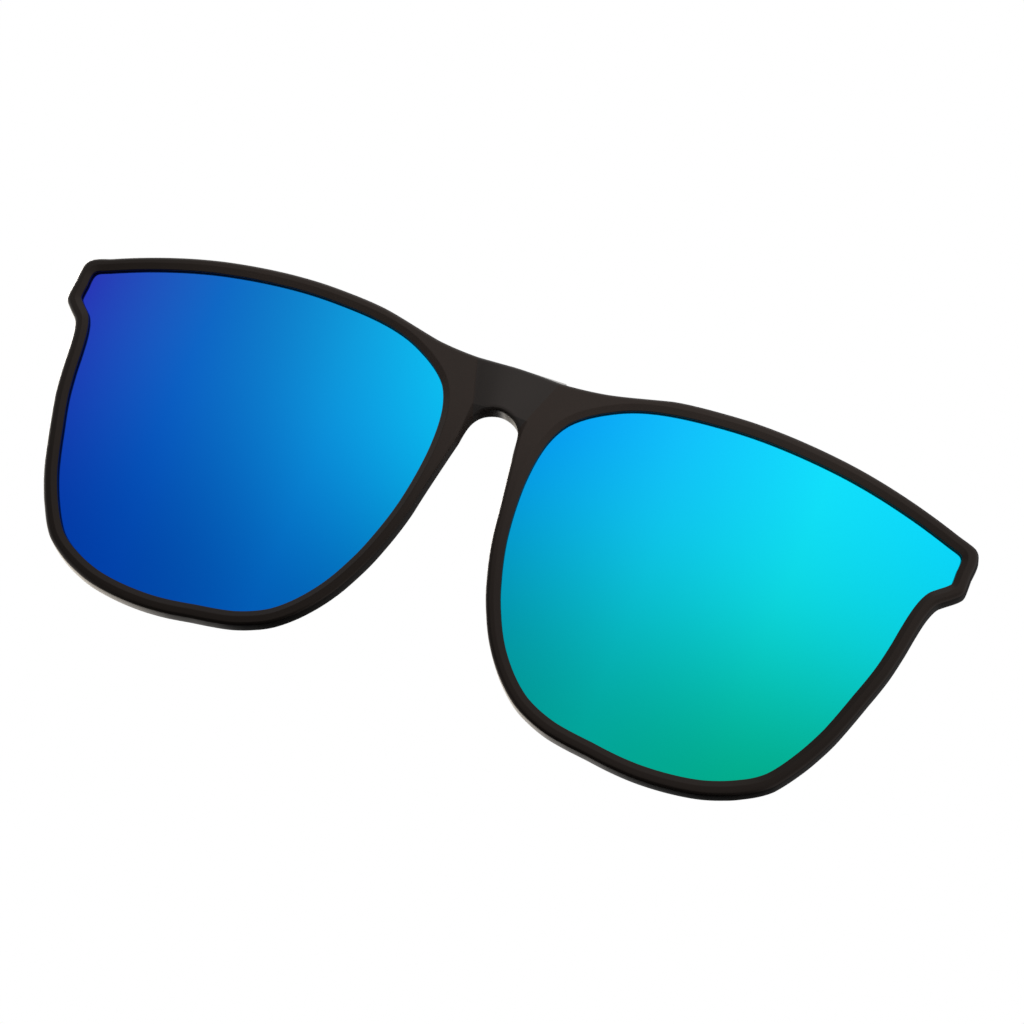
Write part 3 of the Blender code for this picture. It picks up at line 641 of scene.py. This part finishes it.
shank = 0.6 * MM
screw_head = 1.15 * MM
head_height = 0.6 * MM
dome_rise = 0.25 * MM
slot_half = 0.14 * MM
slot_depth = 0.3 * MM
for word in ("left", "right"):
    low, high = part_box(f"bracket_screw_{word}")
    centre = Vector(((low.x + high.x) / 2, 0, (low.z + high.z) / 2))
    seat = high.y - head_height
    dome_foot = high.y - dome_rise
    angles = [math.radians(a) for a in (15, 30, 45, 60, 75)]
    dome = [(dome_foot + dome_rise * math.sin(a), screw_head * math.cos(a) ** 0.6) for a in angles]
    profile = [
        (low.y, 0), (low.y, shank - 0.15 * MM), (low.y + 0.15 * MM, shank), (seat, shank),
        (seat, screw_head - 0.05 * MM), (seat + 0.05 * MM, screw_head), (dome_foot, screw_head),
        *dome, (high.y, 0),
    ]
    bm = bmesh.new()
    turned(bm, profile, "Y", centre)
    screw = piece_from(bm, f"slotted_screw_{word}", "front", "bright_wire_steel", bright)
    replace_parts(screw, f"bracket_screw_{word}")
    carve(screw, block(
        (centre.x - 2 * screw_head, high.y - slot_depth, centre.z - slot_half),
        (centre.x + 2 * screw_head, high.y + MM, centre.z + slot_half),
    ))


# The two hinge pins: turned steel with a thin head at one end and a pressed ring at the other. The
# flip pin joins bracket and clip body, and the jaw pin joins clip body and lever.
def pin_and_ring(pin, body, radius):
    """A headed pin and the ring on its other end."""
    low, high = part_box(pin)
    ring_low, ring_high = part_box(f"{pin}_ring")
    centre = Vector((0, (ring_low.y + ring_high.y) / 2, (ring_low.z + ring_high.z) / 2))
    head = (ring_high.z - ring_low.z) / 2
    thick = ring_high.x - ring_low.x
    bm = bmesh.new()
    head_profile = [
        (low.x, 0), (low.x, 0.55 * head), (low.x + 0.06 * MM, 0.78 * head), (low.x + 0.2 * MM, head),
    ]
    shank_profile = [
        (low.x + thick - 0.06 * MM, head), (low.x + thick, head - 0.06 * MM), (low.x + thick, radius),
        (high.x - 0.1 * MM, radius), (high.x, radius - 0.12 * MM), (high.x, 0),
    ]
    turned(bm, head_profile + shank_profile, "X", centre)
    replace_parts(piece_from(bm, f"{pin}_turned", body, "bright_wire_steel", bright), pin)
    bore = radius + 0.05 * MM
    edge = 0.1 * MM
    bm = bmesh.new()
    ring = [
        (ring_low.x, bore), (ring_low.x, head - edge), (ring_low.x + edge, head),
        (ring_high.x - edge, head), (ring_high.x, head - edge), (ring_high.x, bore + edge),
        (ring_high.x - edge, bore), (ring_low.x, bore),
    ]
    turned(bm, ring, "X", centre)
    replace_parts(piece_from(bm, f"{pin}_collar", body, "bright_wire_steel", bright), f"{pin}_ring")


pin_and_ring("flip_pin", "front", 0.5 * MM)
pin_and_ring("jaw_pin", "clip", 0.6 * MM)


# The clip body: a small steel block with a barrel for the flip pin in front, an upright ear that
# a thumb presses against, and a cheek on each side for the jaw pin.
broken_edges("clip_block", "clip_body", "clip", "brushed_clip_steel", brushed, 0.12 * MM)


# The lever behind it: a steel block with a tab that a finger presses, hung on the jaw pin, and cut
# away in the middle for the spring.
broken_edges("clip_lever", "jaw_lever", "lever", "brushed_clip_steel", brushed, 0.12 * MM)


# Four arms of bright spring wire, two in the clip body and two in the lever. Each leaves its
# socket sideways and bends down to its sleeve.
wire_radius = 0.55 * MM
bend_radius = 2.0 * MM


def wire_piece(name, points, radius, slot, finish):
    """A round wire along the points, as a mesh with closed ends."""
    curve = bpy.data.curves.new(name, "CURVE")
    curve.dimensions = "3D"
    curve.bevel_depth = radius
    curve.bevel_resolution = 6
    curve.use_fill_caps = True
    spline = curve.splines.new("POLY")
    spline.points.add(len(points) - 1)
    for point, place in zip(spline.points, points):
        point.co = (*place, 1)
    line = bpy.data.objects.new(name, curve)
    bpy.context.collection.objects.link(line)
    graph = bpy.context.evaluated_depsgraph_get()
    bm = bmesh.new()
    bm.from_mesh(bpy.data.meshes.new_from_object(line.evaluated_get(graph)))
    bpy.data.objects.remove(line)
    bmesh.ops.remove_doubles(bm, verts=bm.verts, dist=0.0005 * MM)
    bmesh.ops.recalc_face_normals(bm, faces=bm.faces)
    return piece_from(bm, name, None, slot, finish)


for row, body in (("front", "clip"), ("rear", "lever")):
    for side, word in ((-1, "left"), (1, "right")):
        low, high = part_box(f"{row}_arm_{word}")
        y = (low.y + high.y) / 2
        root_x = min(abs(low.x), abs(high.x))
        run_x = max(abs(low.x), abs(high.x)) - wire_radius
        run_z = high.z - wire_radius
        route = [(root_x, run_z)]
        for step in range(17):
            angle = math.radians(90 - 90 * step / 16)
            route.append((
                run_x - bend_radius + bend_radius * math.cos(angle),
                run_z - bend_radius + bend_radius * math.sin(angle),
            ))
        route.append((run_x, low.z))
        places = [(side * x, y, z) for x, z in route]
        arm = wire_piece(f"{row}_wire_{word}", places, wire_radius, "bright_wire_steel", bright)
        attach(arm, body)
        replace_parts(arm, f"{row}_arm_{word}")


# A soft silicone sleeve over each arm's tip grips the glasses without scratching them. Dip-moulded,
# with a round closed end and a thin rolled mouth.
silicone, start = new_finish(
    "clear_grey_silicone", Transmission_Weight=0.45, IOR=1.41, Specular_IOR_Level=0.4,
    Subsurface_Weight=0.2, Subsurface_Scale=0.001,
)
where = start.node("TexCoord", {}, {}, "Object")
cloudy = start.node("TexNoise", {}, {"Vector": where, "Scale": 500, "Detail": 3})
milky = {"stops": ((0.3, (0.46, 0.47, 0.49)), (0.7, (0.62, 0.63, 0.65)))}
feed(
    silicone,
    Base_Color=start.node("ValToRGB", milky, {"Fac": cloudy}),
    Roughness=0.36 + 0.16 * cloudy,
    Normal=start.node("Bump", {}, {"Height": cloudy, "Distance": 0.00002, "Strength": 0.4}),
)
bore = wire_radius + 0.02 * MM
cap_height = 0.9 * MM
cap_round = 0.35 * MM
cap_steps = 8
for row, body in (("front", "clip"), ("rear", "lever")):
    for word in ("left", "right"):
        low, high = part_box(f"{row}_sleeve_{word}")
        centre = ((low.x + high.x) / 2, (low.y + high.y) / 2, 0)
        radius = (high.y - low.y) / 2
        profile = [(low.z, 0)]
        for step in range(1, cap_steps + 1):
            angle = math.radians(90 * step / cap_steps)
            shoulder = radius - cap_round + cap_round * math.sin(angle)
            level = low.z + cap_height - cap_height * math.cos(angle)
            profile.append((level, shoulder if step > 2 else 0.38 * radius * step))
        profile += [
            (high.z - 0.5 * MM, radius), (high.z - 0.2 * MM, radius - 0.03 * MM),
            (high.z - 0.05 * MM, radius - 0.15 * MM), (high.z, radius - cap_round),
            (high.z - 0.02 * MM, bore + 0.2 * MM), (high.z - 0.15 * MM, bore),
            (low.z + 0.5 * MM, bore), (low.z + 0.5 * MM, 0),
        ]
        bm = bmesh.new()
        turned(bm, profile, "Z", centre)
        sleeve = piece_from(bm, f"{row}_silicone_{word}", body, "clear_grey_silicone", silicone)
        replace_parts(sleeve, f"{row}_sleeve_{word}")


# The jaw spring: a coil of spring wire round the jaw pin. One leg bears on the clip body's ear and
# the other on the lever's tab, so the coil twists as the jaw opens.
jaw = next(joint for joint in frame["joints"] if joint["name"] == "jaw_hinge")
jaw_y, jaw_z = jaw["pos_m"][1:]
spring_wire = 0.25 * MM
jaw_pin_radius = 0.6 * MM
coil_radius = jaw_pin_radius + 0.3 * MM + spring_wire
coil_half = 1.55 * MM
coil_turns = 3.6
coil_start = math.radians(215)
ear_y = jaw_y - 2.95 * MM
ear_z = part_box("clip_body")[1].z
tab_y = jaw_y - 0.45 * MM
tab_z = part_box("jaw_lever")[1].z
route = [(-coil_half, ear_y, ear_z - 0.2 * MM), (-coil_half, ear_y + 0.4 * MM, ear_z - 0.5 * MM)]
coil_steps = round(coil_turns * 30)
for step in range(coil_steps + 1):
    angle = coil_start + math.tau * coil_turns * step / coil_steps
    x = coil_half * (2 * step / coil_steps - 1)
    route.append((x, jaw_y + coil_radius * math.cos(angle), jaw_z + coil_radius * math.sin(angle)))
route += [
    (coil_half, tab_y + 0.2 * MM, jaw_z + coil_radius + 0.3 * MM),
    (coil_half, tab_y, jaw_z + coil_radius + 0.7 * MM), (coil_half, tab_y, tab_z - 1.0 * MM),
]
coil = wire_piece("torsion_coil", route, spring_wire, "bright_wire_steel", bright)
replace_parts(coil, "jaw_spring")
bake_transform(coil)


# The lever's pad: a moulded silicone cushion on the back of the tab, ribbed so a fingertip doesn't
# slip. Its ribs run across the tab.
low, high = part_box("lever_pad")
rib_count = 4
rib_pitch = (high.z - low.z) / rib_count
rib_height = 0.3 * MM
outline = [(low.y, low.z), (high.y - rib_height, low.z)]
for rib in range(rib_count):
    middle_z = low.z + rib_pitch * (rib + 0.5)
    for degrees in range(-75, 76, 25):
        angle = math.radians(degrees)
        outline.append((
            high.y - rib_height + rib_height * math.cos(angle),
            middle_z + 0.42 * rib_pitch * math.sin(angle),
        ))
outline += [(high.y - rib_height, high.z), (low.y, high.z)]
bm = bmesh.new()
end_face = bm.faces.new([bm.verts.new((low.x, y, z)) for y, z in outline])
grown = bmesh.ops.extrude_face_region(bm, geom=[end_face])["geom"]
far_end = [item for item in grown if isinstance(item, bmesh.types.BMVert)]
bmesh.ops.translate(bm, verts=far_end, vec=(high.x - low.x, 0, 0))
bmesh.ops.recalc_face_normals(bm, faces=bm.faces)
ends = [edge for edge in bm.edges if edge.calc_face_angle(0) > math.radians(60)]
bmesh.ops.bevel(
    bm, geom=ends, affect="EDGES", offset=0.08 * MM, segments=2, profile=0.5, material=-1,
    clamp_overlap=True,
)
pad = piece_from(bm, "ribbed_pad", "lever", "clear_grey_silicone", silicone)
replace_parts(pad, "lever_pad")
